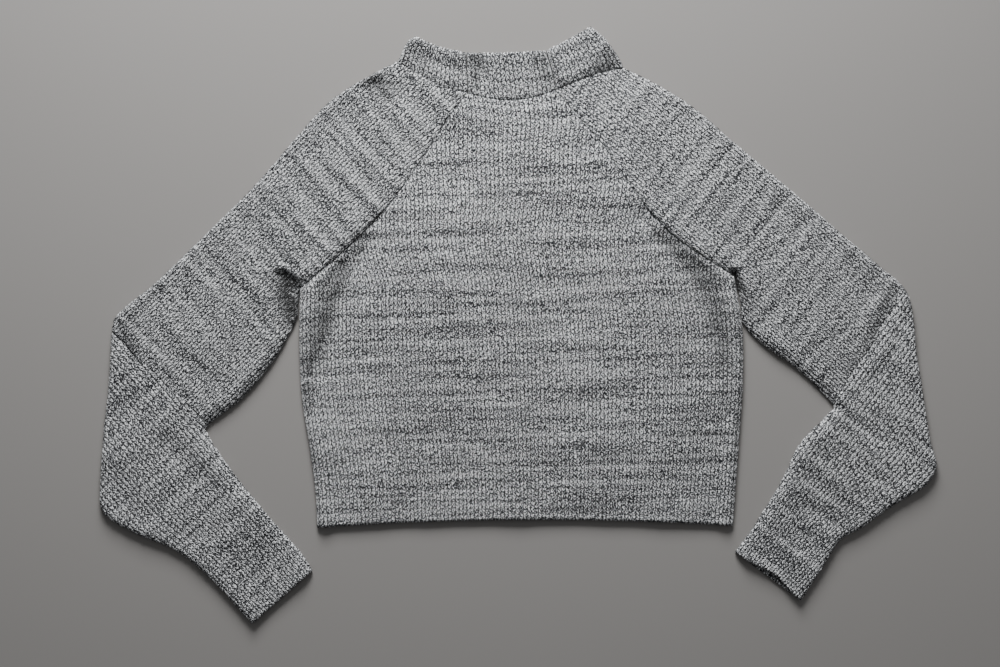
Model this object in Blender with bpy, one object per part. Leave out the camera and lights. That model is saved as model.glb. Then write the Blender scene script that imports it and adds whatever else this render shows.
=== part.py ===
"""Cropped knit sweater with raglan sleeves and a funnel neck, laid flat with its front up.

Four knitted panels lie on each other: the back on the surface, the front on the back, and a sleeve
on either side, folded along its shoulder line with its two long edges meeting at the underarm seam.
The funnel neck is worked in one with the panels, so the four raglan seams run on to its top edge.
Each quarter of it is an object of its own, parted from its panel at the crease where it turns up.

Units are metres, +Z is up, +Y runs from the hem to the neck and left means the side at -X.
The tables are in millimetres; the origin is under the middle of the laid-out sweater.
"""

import bpy
import numpy as np

MM = 0.001

# The cloth and how it lies, in millimetres
CLOTH = 3.0  # thickness of one layer of the knit
LAY = 0.3  # gap between two layers that lie close
SEAM = 0.3  # gap between pieces that are sewn together
CREASE_SHIFT = SEAM / 2 * 1.15  # each side of the neck's base crease moves this far along Y, as it slants
HOLLOW = 3.5  # most room between the layers; a higher fold is cloth bunched together
LAID = 2 * CLOTH + LAY  # height of two layers that lie close

# Rounding of the cut edges, and the reach of the soft rolls beside folds and seams
RIM = 3.5
RIM_STEP = RIM / 3
RIM_DROP = 1.6  # how far the upper layer falls at a seam
END_DROP = 0.8  # and at the hem, the cuffs and the neck's top edge
UNDER_DROP = 0.6  # how far the lower layer's underside rises at its edges
FOLD_REACH = 16.0
ROLL_REACH = 9.0
SETTLE = 12.0  # the layers close up over this width beside a seam
SHARP_DEGREES = 50

# Sampling of the walls: stations for each row of a table, and columns across the cloth
STEPS_PER_ROW = 2
TUBE_TOP_STEPS = 12
PANEL_STEPS = 22
FLAT_STEPS = 5
ARC_DEGREES = (-60, -30, 0, 30, 60)

# A row of a tube is one line across the flattened cloth: its folded outer end, its sewn inner end,
# the bow of the line between them toward the hem, and how far the upper layer stands above two
# close layers at the fold, in the middle and beside the seam.
TUBE_FIELDS = ("outer_x", "outer_y", "inner_x", "inner_y", "bow", "fold", "crown", "edge")
SLEEVE_LEFT = (
    (-135, 299, -56, 263, 6.0, 0.6, 0.2, 0.2),
    (-175, 278, -76, 238, 3.0, 2.2, 1.6, 1.4),
    (-213, 252, -103, 196, 0.0, 2.6, 1.9, 1.6),
    (-250, 212, -141, 142, 0.0, 2.6, 1.9, 1.8),
    (-293, 162, -191, 90, 0.0, 2.6, 1.8, 2.6),
    (-332, 123, -245, 42, 0.0, 2.6, 1.6, 3.2),
    (-348, 107, -249, 24, 0.0, 2.6, 1.7, 3.0),
    (-369, 86, -251, 6, 0.0, 2.8, 1.8, 2.8),
    (-409, 48, -277, -41, 0.0, 3.0, 2.0, 3.0),
    (-449, 15, -312, -82, 0.0, 3.0, 2.0, 3.0),
    (-457, -6, -348, -110, 0.0, 2.8, 1.4, 2.0),
    (-460, -58, -350, -120, 0.0, 2.6, 2.0, 1.6),
    (-466, -117, -328, -155, 0.0, 2.8, 2.1, 1.8),
    (-470, -173, -306, -183, 0.0, 2.8, 2.1, 2.0),
    (-467, -209, -290, -203, 0.0, 3.0, 2.1, 2.0),
    (-433, -232, -275, -221, 0.0, 3.0, 2.0, 2.0),
    (-384, -253, -259, -238, 0.0, 2.6, 1.8, 1.8),
    (-346, -284, -243, -257, 0.0, 2.2, 1.6, 1.6),
    (-299, -335, -231, -275, 0.0, 2.4, 2.2, 1.6),
)
SLEEVE_RIGHT = (
    (120, 291, 43, 266, -3.0, 0.6, 0.2, 0.2),
    (160, 271, 70, 233, 0.0, 2.2, 1.6, 1.2),
    (199, 246, 94, 207, 0.0, 2.6, 1.9, 1.4),
    (248, 204, 133, 150, 0.0, 2.6, 1.9, 1.6),
    (297, 163, 176, 103, 0.0, 2.6, 1.8, 2.4),
    (340, 127, 244, 56, 0.0, 2.6, 1.6, 2.6),
    (357, 111, 254, 30, 0.0, 2.6, 1.6, 2.6),
    (376, 95, 258, 8, 0.0, 2.8, 1.8, 2.6),
    (409, 67, 279, -22, 0.0, 3.0, 2.0, 2.8),
    (436, 43, 318, -50, 0.0, 3.0, 1.6, 2.8),
    (445, 16, 355, -87, 0.0, 3.2, 1.4, 2.0),
    (450, -32, 351, -98, 0.0, 2.6, 2.0, 1.6),
    (458, -83, 332, -117, 0.0, 2.8, 2.1, 1.8),
    (465, -128, 315, -138, 0.0, 2.8, 2.1, 2.0),
    (472, -156, 301, -168, 0.0, 3.0, 2.1, 2.0),
    (460, -179, 287, -193, 0.0, 3.0, 2.1, 2.0),
    (424, -201, 276, -210, 0.0, 3.0, 2.0, 2.0),
    (386, -228, 264, -229, 0.0, 2.4, 1.8, 1.8),
    (363, -241, 259, -236, 0.0, 2.2, 1.8, 1.8),
    (345, -270, 252, -245, 0.0, 2.2, 2.2, 1.6),
    (319, -309, 245, -254, 0.0, 2.4, 3.2, 1.8),
)
UNDERARM_ROW = 5  # where the raglan seam ends and the underarm seam begins
NO_CORNER = 0  # the funnel neck's edges run through all their rows

# The funnel neck's side quarters, from the crease at its base to its top edge
NECK_LEFT = (
    (-135, 299, -56, 263, 6.0, 0.8, 0.4, 0.4),
    (-132, 306, -56, 272, 5.0, 2.2, 2.2, 1.6),
    (-128, 315, -57, 285, 4.0, 2.8, 2.6, 2.0),
    (-123, 322, -57, 297, 3.5, 3.0, 2.6, 2.2),
    (-116, 326, -58, 307, 3.0, 2.6, 2.4, 2.0),
)
NECK_RIGHT = (
    (120, 291, 43, 266, -3.0, 3.0, 3.6, 2.6),
    (117, 299, 42, 273, -3.0, 3.8, 4.6, 3.2),
    (111, 309, 40, 283, -2.0, 3.6, 4.2, 3.0),
    (98, 325, 36, 297, -1.0, 3.2, 3.6, 2.6),
    (84, 337, 32, 309, 0.5, 2.8, 3.0, 2.2),
)

# A row of a panel is one line across it, from its left edge to its right edge, with the bow and how
# far the upper layer stands above two close layers beside the left edge, in the middle and beside
# the right edge. The first rows share their ends with the sleeves' inner ends: the raglan seams.
PANEL_FIELDS = ("left_x", "left_y", "right_x", "right_y", "bow", "left", "crown", "right")
BODY = (
    (-56, 263, 43, 266, 10.0, 0.2, 0.2, 0.2),
    (-76, 238, 70, 233, 5.0, 0.6, 1.2, 0.6),
    (-103, 196, 94, 207, 2.0, 0.6, 1.6, 0.6),
    (-141, 142, 133, 150, 0.0, 0.6, 1.6, 0.6),
    (-191, 90, 176, 103, 0.0, 0.6, 1.6, 0.6),
    (-245, 42, 244, 56, 0.0, 1.8, 1.6, 1.6),
    (-246, 16, 248, 30, 0.0, 2.8, 1.4, 2.4),
    (-246, -26, 254, -8, 0.0, 3.2, 1.3, 3.0),
    (-243, -83, 254, -66, 0.0, 3.2, 1.2, 3.0),
    (-234, -139, 250, -126, 0.0, 3.0, 1.2, 2.8),
    (-228, -185, 246, -180, 0.0, 2.8, 1.2, 2.6),
    (-226, -226, 243, -224, -8.0, 2.4, 1.0, 2.4),
)
NECK_FRONT = (
    (-56, 263, 43, 266, 10.0, 0.4, 0.4, 1.6),
    (-56, 272, 42, 273, 8.0, 1.6, 2.6, 2.2),
    (-57, 285, 40, 283, 5.0, 2.0, 3.0, 2.4),
    (-57, 297, 36, 297, 3.0, 2.2, 3.0, 2.4),
    (-58, 307, 32, 309, 1.0, 2.0, 2.6, 2.2),
)

# Largest folds of the upper layer: each is a soft ridge, or a trough where its height is negative,
# along a line between two points.
FOLD_FIELDS = ("piece", "x0", "y0", "x1", "y1", "half_width", "height")
FOLDS = (
    ("sleeve_left", -450, 2, -350, -108, 7.0, -1.8),
    ("sleeve_left", -436, 18, -334, -94, 9.0, 1.4),
    ("sleeve_left", -172, 284, -150, 262, 11.0, -2.0),
    ("sleeve_left", -189, 255, -279, 171, 8.0, -1.4),
    ("sleeve_left", -408, 52, -444, 14, 8.0, -1.4),
    ("sleeve_left", -262, 62, -246, 46, 7.0, -2.6),
    ("sleeve_left", -352, -132, -440, -196, 15.0, 0.9),
    ("sleeve_left", -384, -246, -300, -214, 9.0, -1.1),
    ("sleeve_right", 438, 34, 358, -86, 8.0, 3.4),
    ("sleeve_right", 414, 34, 344, -68, 9.0, -2.0),
    ("sleeve_right", 183, 249, 205, 233, 9.0, -1.4),
    ("sleeve_right", 296, 137, 318, 118, 9.0, -1.2),
    ("sleeve_right", 374, 76, 397, 42, 9.0, -1.4),
    ("sleeve_right", 452, -150, 352, -128, 14.0, 0.9),
    ("sleeve_right", 380, -222, 300, -196, 9.0, -1.1),
    ("front", -155, 154, -194, 86, 10.0, -1.2),
    ("front", -194, 86, -206, 20, 10.0, -1.2),
    ("front", -206, 20, -218, -40, 10.0, -0.9),
    ("front", 149, 126, 183, 86, 10.0, -1.2),
    ("front", 183, 86, 216, 36, 10.0, -1.2),
    ("front", 216, 36, 226, -60, 10.0, -0.9),
    ("front", 149, -127, 240, -124, 5.0, -0.9),
    ("front", 200, -114, 240, -115, 6.0, 0.9),
)

# One marled grey for all pieces, a shade apart so that they can be told from each other
PIECE_GREYS = {
    "back": 0.24,
    "front": 0.32,
    "sleeve_left": 0.29,
    "sleeve_right": 0.27,
    "neck_back": 0.25,
    "neck_front": 0.35,
    "neck_left": 0.31,
    "neck_right": 0.28,
}
ROUGHNESS = 0.95


def row_curve(rows, stations, corner):
    """Values of a table at fractional row numbers, as Catmull-Rom curves that break at a corner row."""
    rows = np.array(rows, float)
    last = len(rows) - 1
    values = np.empty((len(stations), rows.shape[1]))
    for start, end in ((0, corner), (corner, last)):
        inside = (stations >= start) & (stations <= end)
        part = rows[start : end + 1]
        if len(part) < 2:
            continue
        padded = np.vstack([2 * part[0] - part[1], part, 2 * part[-1] - part[-2]])
        place = stations[inside] - start
        first = np.minimum(place.astype(int), len(part) - 2)
        t = (place - first)[:, None]
        p0, p1, p2, p3 = (padded[first + k] for k in range(4))
        values[inside] = 0.5 * (
            2 * p1
            + (p2 - p0) * t
            + (2 * p0 - 5 * p1 + 4 * p2 - p3) * t**2
            + (3 * p1 - p0 - 3 * p2 + p3) * t**3
        )
    return values


def station_list(rows):
    """Row numbers to sample: even steps, and one more beside each end for its rounded rim."""
    rows = np.array(rows, float)
    last = len(rows) - 1
    middle = (rows[:, 0:2] + rows[:, 2:4]) / 2
    first_gap = np.linalg.norm(middle[1] - middle[0])
    last_gap = np.linalg.norm(middle[-1] - middle[-2])
    even = np.linspace(0, last, last * STEPS_PER_ROW + 1)
    rims = (RIM_STEP / first_gap, RIM / first_gap, last - RIM / last_gap, last - RIM_STEP / last_gap)
    return np.unique(np.concatenate([even, rims]))


def unit(vectors):
    return vectors / np.linalg.norm(vectors, axis=-1, keepdims=True)


def moved_in(edge, toward, stations, corner, distance):
    """An edge moved sideways toward another one, square to itself on either side of its corner."""
    moved = np.empty_like(edge)
    for start, end in ((0, corner), (corner, stations[-1])):
        inside = (stations >= start) & (stations <= end)
        if inside.sum() < 2:
            continue
        run = unit(np.gradient(edge[inside], axis=0))
        side = np.stack([-run[:, 1], run[:, 0]], axis=1)
        facing = np.sign(np.sum(side * (toward - edge)[inside], axis=1))
        moved[inside] = edge[inside] + side * facing[:, None] * distance
    return moved


def smooth(x):
    x = np.clip(x, 0, 1)
    return x * x * (3 - 2 * x)


def bell(x):
    return np.exp(-(x**2))


def arch(x):
    """A low arch from 0 to 0 as x runs from 0 to 1, steeper at its ends than a sine."""
    return np.sqrt(np.clip(np.sin(np.pi * np.clip(x, 0, 1)), 0, 1))


def rounded(distance, drop):
    """Quarter round over an edge: how far the surface falls at a distance from it."""
    x = 1 - np.clip(distance / RIM, 0, 1)
    return drop * (1 - np.sqrt(1 - x * x))


def folds(piece, xy):
    """Height of the largest folds of a piece at points of the plan."""
    height = np.zeros(xy.shape[:-1])
    for row in FOLDS:
        fold = dict(zip(FOLD_FIELDS, row))
        if fold["piece"] != piece:
            continue
        start = np.array([fold["x0"], fold["y0"]])
        run = np.array([fold["x1"], fold["y1"]]) - start
        along = np.clip(((xy - start) @ run) / (run @ run), 0, 1)
        away = np.linalg.norm(xy - start - along[..., None] * run, axis=-1)
        height += fold["height"] * bell(away / fold["half_width"])
    return height


def end_distance(middle):
    """Distance of each station from the nearer end of its piece, along the piece's middle."""
    steps = np.linalg.norm(np.diff(middle, axis=0), axis=1)
    run = np.concatenate([[0], np.cumsum(steps)])
    return np.minimum(run, run[-1] - run)


def row_points(start, end, bow, distance):
    """Points of the plan at distances along bowed lines from start to end."""
    line = end - start
    width = np.linalg.norm(line, axis=1)[:, None]
    along = unit(line)
    toward_hem = np.stack([along[:, 1], -along[:, 0]], axis=1)
    toward_hem *= -np.sign(toward_hem[:, 1:2])
    u = distance / width
    swing = bow[:, None] * 4 * u * (1 - u)
    return start[:, None] + along[:, None] * distance[..., None] + toward_hem[:, None] * swing[..., None]


def tube_wall(piece, rows, corner, base_shift):
    """Outer and inner faces of cloth folded on its outer edge, with its two inner edges sewn."""
    stations = station_list(rows)
    value = dict(zip(TUBE_FIELDS, row_curve(rows, stations, corner).T))
    outer = np.stack([value["outer_x"], value["outer_y"]], axis=1)
    inner = np.stack([value["inner_x"], value["inner_y"]], axis=1)
    inner = moved_in(inner, outer, stations, corner, SEAM / 2)
    outer[0, 1] += base_shift
    inner[0, 1] += base_shift
    width = np.linalg.norm(inner - outer, axis=1)[:, None]
    from_end = end_distance((outer + inner) / 2)[:, None]
    radius = (LAID + value["fold"][:, None]) / 2
    spread = np.linspace(0, 1, TUBE_TOP_STEPS)

    # Upper layer, from the fold to the seam
    top = np.concatenate([radius + spread * (width - RIM - radius), width - RIM_STEP, width], axis=1)
    past_fold = (top - radius) / (width - radius)
    plan_top = row_points(outer, inner, value["bow"], top)
    height = (
        LAID
        + value["fold"][:, None] * bell((top - radius) / FOLD_REACH)
        + value["crown"][:, None] * arch(past_fold)
        + value["edge"][:, None] * bell((width - top - ROLL_REACH) / ROLL_REACH)
        + folds(piece, plan_top) * smooth((top - radius) / SETTLE)
    )
    height = np.maximum(height, LAID)
    close = CLOTH + LAY
    under = np.minimum(height - CLOTH, CLOTH + HOLLOW)
    under = close + (under - close) * smooth((width - top) / SETTLE)
    height = height - rounded(width - top, RIM_DROP) - rounded(from_end, END_DROP)

    # Lower layer, from the seam back to the fold, flat on the surface
    low_spread = np.linspace(1, 0, FLAT_STEPS)
    low = np.concatenate([width, width - RIM_STEP, radius + low_spread * (width - RIM - radius)], axis=1)
    plan_low = row_points(outer, inner, value["bow"], low)
    floor = rounded(width - low, UNDER_DROP)
    hollow_floor = np.full_like(low, CLOTH)

    # The fold between them: half rounds about one centre line
    turn = np.radians(ARC_DEGREES)[None]
    hollow_radius = (under[:, 0:1] - CLOTH) / 2
    outside = radius - radius * np.cos(turn)
    inside = radius - hollow_radius * np.cos(turn)
    plan_outside = row_points(outer, inner, value["bow"], outside)
    plan_inside = row_points(outer, inner, value["bow"], inside)
    high_outside = height[:, 0:1] / 2 * (1 + np.sin(turn))
    high_inside = CLOTH + hollow_radius * (1 + np.sin(turn))

    plan = np.concatenate([plan_low, plan_outside, plan_top], axis=1)
    plan_hollow = np.concatenate([plan_low, plan_inside, plan_top], axis=1)
    high = np.concatenate([floor, high_outside, height], axis=1)
    high_hollow = np.concatenate([hollow_floor, high_inside, under], axis=1)
    return np.dstack([plan, high]), np.dstack([plan_hollow, high_hollow])


def panel_wall(piece, rows, corner, base_shift, lower):
    """Upper and lower faces of one flat layer: the lower one on the surface, or the one on top."""
    stations = station_list(rows)
    value = dict(zip(PANEL_FIELDS, row_curve(rows, stations, corner).T))
    left = np.stack([value["left_x"], value["left_y"]], axis=1)
    right = np.stack([value["right_x"], value["right_y"]], axis=1)
    left_in = moved_in(left, right, stations, corner, SEAM / 2)
    right_in = moved_in(right, left, stations, corner, SEAM / 2)
    left_in[0, 1] += base_shift
    right_in[0, 1] += base_shift
    width = np.linalg.norm(right_in - left_in, axis=1)[:, None]
    from_end = end_distance((left + right) / 2)[:, None]
    columns = FLAT_STEPS if lower else PANEL_STEPS
    spread = np.linspace(0, 1, columns)
    rims = np.ones_like(width) * np.array([[0, RIM_STEP]])
    across = np.concatenate([rims, RIM + spread * (width - 2 * RIM), width - rims[:, ::-1]], axis=1)
    plan = row_points(left_in, right_in, value["bow"], across)
    from_side = np.minimum(across, width - across)
    if lower:
        under = rounded(np.minimum(from_side, from_end), UNDER_DROP)
        return np.dstack([plan, np.full_like(across, CLOTH)]), np.dstack([plan, under])
    height = (
        LAID
        + value["left"][:, None] * bell((across - ROLL_REACH) / ROLL_REACH)
        + value["right"][:, None] * bell((width - across - ROLL_REACH) / ROLL_REACH)
        + value["crown"][:, None] * arch(across / width)
        + folds(piece, plan)
    )
    height = np.maximum(height, LAID)
    close = CLOTH + LAY
    under = np.minimum(height - CLOTH, CLOTH + HOLLOW)
    under = close + (under - close) * smooth(from_side / SETTLE)
    height = height - rounded(from_side, RIM_DROP) - rounded(from_end, END_DROP)
    return np.dstack([plan, height]), np.dstack([plan, under])


def closed_mesh(name, face, back):
    """A mesh from two grids of points, joined round their rims into one closed wall."""
    rows, columns = face.shape[:2]
    count = rows * columns
    index = np.arange(count).reshape(rows, columns)
    quads = np.stack([index[:-1, :-1], index[1:, :-1], index[1:, 1:], index[:-1, 1:]], axis=-1)
    quads = quads.reshape(-1, 4)
    rim = np.concatenate([index[:-1, 0], index[-1, :-1], index[:0:-1, -1], index[0, :0:-1]])
    after = np.roll(rim, -1)
    band = np.stack([after, rim, rim + count, after + count], axis=1)
    polygons = np.concatenate([quads, quads[:, ::-1] + count, band])
    points = np.concatenate([face.reshape(-1, 3), back.reshape(-1, 3)])

    a, b, c, d = (points[polygons[:, k]] for k in range(4))
    signed_volume = np.sum(a * (np.cross(b, c) + np.cross(c, d)))
    if signed_volume < 0:
        polygons = polygons[:, ::-1]
    mesh = bpy.data.meshes.new(name)
    mesh.from_pydata(points.tolist(), [], polygons.tolist())
    mesh.shade_smooth()
    mesh.set_sharp_from_angle(angle=np.radians(SHARP_DEGREES))
    return mesh


def knit_material(name, grey):
    material = bpy.data.materials.new(f"knit_{name}")
    material.use_nodes = True
    shader = material.node_tree.nodes["Principled BSDF"]
    shader.inputs["Base Color"].default_value = (grey, grey, grey * 1.02, 1)
    shader.inputs["Roughness"].default_value = ROUGHNESS
    shader.inputs["Metallic"].default_value = 0.0
    return material


for old in list(bpy.data.objects):
    bpy.data.objects.remove(old, do_unlink=True)

walls = {
    "back": panel_wall("back", BODY, UNDERARM_ROW, -CREASE_SHIFT, lower=True),
    "front": panel_wall("front", BODY, UNDERARM_ROW, -CREASE_SHIFT, lower=False),
    "sleeve_left": tube_wall("sleeve_left", SLEEVE_LEFT, UNDERARM_ROW, -CREASE_SHIFT),
    "sleeve_right": tube_wall("sleeve_right", SLEEVE_RIGHT, UNDERARM_ROW, -CREASE_SHIFT),
    "neck_back": panel_wall("neck_back", NECK_FRONT, NO_CORNER, CREASE_SHIFT, lower=True),
    "neck_front": panel_wall("neck_front", NECK_FRONT, NO_CORNER, CREASE_SHIFT, lower=False),
    "neck_left": tube_wall("neck_left", NECK_LEFT, NO_CORNER, CREASE_SHIFT),
    "neck_right": tube_wall("neck_right", NECK_RIGHT, NO_CORNER, CREASE_SHIFT),
}

everything = np.concatenate([grid.reshape(-1, 3) for wall in walls.values() for grid in wall])
low_corner = everything.min(axis=0)
high_corner = everything.max(axis=0)
middle = (low_corner + high_corner) / 2
middle[2] = low_corner[2]

for piece, (face, back) in walls.items():
    mesh = closed_mesh(piece, (face - middle) * MM, (back - middle) * MM)
    mesh.materials.append(knit_material(piece, PIECE_GREYS[piece]))
    bpy.context.collection.objects.link(bpy.data.objects.new(piece, mesh))
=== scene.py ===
"""Cropped marl knit sweater with raglan sleeves and a funnel neck, laid flat with its front up.

The sections follow the sweater as it is put together: the surface that it lies on, the front panel, the
back panel, the sleeves and the funnel neck. Plans are in millimetres, with +X the viewer's right, +Y from
the hem to the neck and +Z up. Stitches are counted along two coordinates: u in wales, the columns of
stitches, and v in courses, their rows.
"""

import bpy
import numpy as np
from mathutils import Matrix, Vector
from mathutils.geometry import delaunay_2d_cdt


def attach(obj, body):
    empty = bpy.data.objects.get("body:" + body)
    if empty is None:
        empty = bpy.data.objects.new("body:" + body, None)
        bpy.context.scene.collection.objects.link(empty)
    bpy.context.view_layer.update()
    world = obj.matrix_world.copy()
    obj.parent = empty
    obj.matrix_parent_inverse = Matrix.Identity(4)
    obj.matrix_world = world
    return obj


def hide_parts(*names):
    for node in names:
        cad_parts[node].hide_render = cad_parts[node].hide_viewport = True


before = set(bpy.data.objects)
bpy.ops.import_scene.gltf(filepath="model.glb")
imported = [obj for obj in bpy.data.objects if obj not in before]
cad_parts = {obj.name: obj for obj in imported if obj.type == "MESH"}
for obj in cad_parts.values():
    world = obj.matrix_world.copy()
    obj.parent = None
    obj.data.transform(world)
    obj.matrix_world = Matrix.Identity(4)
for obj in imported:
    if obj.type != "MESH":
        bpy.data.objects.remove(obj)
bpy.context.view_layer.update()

# ---- Studio ----------------------------------------------------------
# A plain pale sheet of matt paper under the sweater, lit softly from beyond its neck, with the camera
# straight above.

MM = 0.001
VIEW_WIDTH = 1126.0  # width of the view at the height of the cloth's middle
VIEW_MIDDLE = (-20.3, -8.9)
CLOTH_MIDDLE = 5.0
LENS = 50.0
SENSOR = 36.0
WINDOW_LIGHT = ("window_light", (-0.15, 1.4, 0.82), 0.8, 60.0)  # name, place and size in metres, watts
FILL_LIGHT = ("fill_light", (0.3, 0.5, 2.2), 1.8, 6.0)
ROOM_HEX = "f6f7f9"
ROOM_STRENGTH = 0.12
PAPER_HEX = "868482"
PAPER_REACH = 4.0
PAPER_Z = -0.0004


def linear(colour):
    """An sRGB hex colour as linear RGBA: (c / 12.92) below 0.04045, else ((c + 0.055) / 1.055) ^ 2.4."""
    parts = np.array([int(colour[k : k + 2], 16) / 255 for k in (0, 2, 4)])
    light = np.where(parts < 0.04045, parts / 12.92, ((parts + 0.055) / 1.055) ** 2.4)
    return (*light.tolist(), 1.0)


def add_node(tree, kind, inputs=(), output=0, **settings):
    """Add one shader node with its settings, give its sockets values or links, and return an output."""
    node = tree.nodes.new("ShaderNode" + kind)
    for name, value in settings.items():
        setattr(node, name, value)
    for socket, value in dict(inputs).items():
        if isinstance(value, bpy.types.NodeSocket):
            tree.links.new(value, node.inputs[socket])
        else:
            node.inputs[socket].default_value = value
    return node.outputs[output] if len(node.outputs) else None


camera_data = bpy.data.cameras.new("above")
camera_data.lens = LENS
camera_data.sensor_width = SENSOR
camera = bpy.data.objects.new("above", camera_data)
camera_height = VIEW_WIDTH * LENS / SENSOR + CLOTH_MIDDLE
camera.location = (VIEW_MIDDLE[0] * MM, VIEW_MIDDLE[1] * MM, camera_height * MM)
bpy.context.collection.objects.link(camera)
bpy.context.scene.camera = camera

for name, place, size, power in (WINDOW_LIGHT, FILL_LIGHT):
    light_data = bpy.data.lights.new(name, "AREA")
    light_data.size = size
    light_data.energy = power
    light = bpy.data.objects.new(name, light_data)
    light.location = place
    light.rotation_euler = (-Vector(place)).to_track_quat("-Z", "Y").to_euler()
    bpy.context.collection.objects.link(light)

world = bpy.data.worlds.new("soft_room")
world.use_nodes = True
world.node_tree.nodes["Background"].inputs["Color"].default_value = linear(ROOM_HEX)
world.node_tree.nodes["Background"].inputs["Strength"].default_value = ROOM_STRENGTH
bpy.context.scene.world = world

paper_mesh = bpy.data.meshes.new("paper")
corners = [(x * PAPER_REACH, y * PAPER_REACH, PAPER_Z) for x, y in ((-1, -1), (1, -1), (1, 1), (-1, 1))]
paper_mesh.from_pydata(corners, [], [(0, 1, 2, 3)])
paper = bpy.data.objects.new("paper", paper_mesh)
bpy.context.collection.objects.link(paper)
matt_paper = bpy.data.materials.new("matt_backdrop_paper")
matt_paper.use_nodes = True
paper_shader = matt_paper.node_tree.nodes["Principled BSDF"]
paper_shader.inputs["Base Color"].default_value = linear(PAPER_HEX)
paper_shader.inputs["Roughness"].default_value = 0.9
paper_shader.inputs["Specular IOR Level"].default_value = 0.2
paper_mesh.materials.append(matt_paper)

# ---- Front panel -----------------------------------------------------
# The front is one panel knitted in marl yarn from the hem up. Its wales stand upright, and above the
# underarm its slanted raglan edges end them one by one. It lies on the back and shows its right side.

PLAN_MIDDLE = np.array([0.5625, 1.0])  # middle of the laid-out sweater in the plan
CLOTH = 3.0
LAID = 6.3
UPPER_INNER = 3.3  # underside of an upper layer where it lies close
SEAM_GAP = 0.15
STEPS_PER_WALE = 4
STEPS_PER_COURSE = 4
PANEL_CURVE_STEPS = 16
LEG_SLANT = 0.22  # share of a wale by which a stitch's legs spread from its foot to its top
V_DEPTH = 0.5  # depth of the valley inside a stitch's V, as a share of the valley between two wales
FOOT_DEPTH = 0.3  # how deep a stitch's foot lies, on the same scale
PROUD_RANGE = 0.22  # and how much higher one stitch stands than another
SCATTER_FACTORS = (12.9898, 78.233, 43758.5453)  # any uneven numbers this large will do
GOLDEN = 0.618034  # its multiples, less their whole parts, spread evenly without a pattern
LANE = 144  # wales between the layers' stitches: a Fibonacci number, which keeps the shifts
WALE_SHIFT = 0.75  # stitches of neighbouring wales stand higher or lower by up to this many courses
RELIEF = 1.25
LOWER_RELIEF = 0.8  # relief of a lower layer, pressed flat on the surface
EDGE_THICKNESS = 0.1  # what is left of a layer at a rounded side
LEAST_THICKNESS = 0.05
SEAM_DIP = 0.9  # how far a layer goes down beside a raglan seam, and over which distance
SEAM_RADIUS = 2.0
END_DIP = 0.9  # the same at a hem, a cuff or the neck's edge
END_RADIUS = 2.5
NECK_DIP = 0.9  # and at the neck's base
NECK_RADIUS = 4.0
EDGE_RADIUS = 7.0  # radius of the body's sides below the underarms
SIDE_START = 14.0  # the seam turns into such a side from this far above the underarm, over SIDE_SPAN
SIDE_SPAN = 22.0
LOWER_SEAM_SHARE = 3.0  # a lower layer rounds up this many times tighter at a seam than at a side
LOWER_END_SHARE = 2.0  # and at its ends
EDGE_RISE = 9.0  # distance from a side to the rise beside it, and the half width of that rise
CROWN_POWER = 0.6  # makes the body's arch flatter in the middle and steeper at its sides
INNER_BLEND = 10.0  # the inner faces of two layers part over this distance from a side
LOOP_REACH = 0.9  # how far the last loop of a wale reaches past the hem
ON_EDGE = 0.1  # a point nearer than this to the end of its wale is its last one
ROUNDING = 1e-6  # more than any error of rounding, less than any size
FILL_INSIDE = 1  # asks delaunay_2d_cdt for the triangles inside the outline alone
MERGE_DISTANCE = 1e-5
BODY_COURSE = 9.0
BODY_WALES = 111
WALE_GROWTH = 0.75  # how much wider a wale is at the neck than at the underarm

# One line across the panel in each row: its left and right ends, the bow between them toward the hem,
# and how far the cloth rises beside the left edge, in the middle and beside the right edge.
BODY = (
    (-56, 263, 43, 266, 10.0, 0.2, 0.2, 0.2),
    (-76, 238, 70, 233, 5.0, 0.6, 1.6, 0.6),
    (-103, 196, 94, 207, 2.0, 0.6, 2.6, 0.6),
    (-141, 142, 133, 150, 0.0, 1.4, 3.4, 1.4),
    (-191, 90, 176, 103, 0.0, 1.6, 4.2, 1.6),
    (-245, 42, 244, 56, 0.0, 2.4, 4.8, 2.4),
    (-246, 16, 249, 30, 0.0, 4.0, 4.8, 4.0),
    (-246, -26, 254, -8, 0.0, 4.4, 4.4, 4.4),
    (-243, -83, 254, -66, 0.0, 3.8, 3.6, 3.8),
    (-234, -139, 250, -126, 0.0, 3.2, 2.8, 3.2),
    (-228, -185, 246, -180, 0.0, 2.8, 1.8, 2.6),
    (-226, -226, 243, -224, -8.0, 2.4, 1.0, 2.4),
)
UNDERARM_ROW = 5  # where the raglan seam ends, in this table and in the sleeves' ones
FOLD_DEPTH = 7.0  # a trough this deep gets the whole painted fold shade

# Creases: from one point to another, the half width, and the height, which is negative for a trough.
# A trough also paints shade into the yarn over it: the deeper, the darker.
FRONT_CREASES = (
    (-152, 132, -172, 98, 8.0, -2.2),
    (-172, 98, -196, 62, 11.0, -5.2),
    (-196, 62, -212, 28, 13.0, -8.6),
    (-212, 28, -222, -16, 12.0, -9.8),
    (-222, -16, -231, -52, 11.0, -8.6),
    (-231, -52, -236, -96, 8.0, -5.2),
    (-140, 126, -118, 100, 12.0, 1.0),
    (146, 128, 164, 100, 8.0, -3.2),
    (164, 100, 194, 70, 12.0, -6.4),
    (194, 70, 216, 38, 13.0, -7.2),
    (216, 38, 229, -4, 11.0, -6.6),
    (229, -4, 236, -52, 9.0, -5.2),
    (236, -52, 238, -100, 6.0, -3.0),
    (149, -127, 240, -124, 5.0, -0.9),
    (200, -114, 240, -115, 6.0, 0.9),
)

# Waves of the whole cloth: radians a millimetre along x and along y, the angle at the origin, the height.
WAVES = (
    (0.071, 0.023, 0.3, 0.28),
    (-0.034, 0.062, 1.9, 0.26),
    (0.048, -0.101, 4.1, 0.16),
    (0.12, 0.09, 2.2, 0.12),
)


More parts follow.
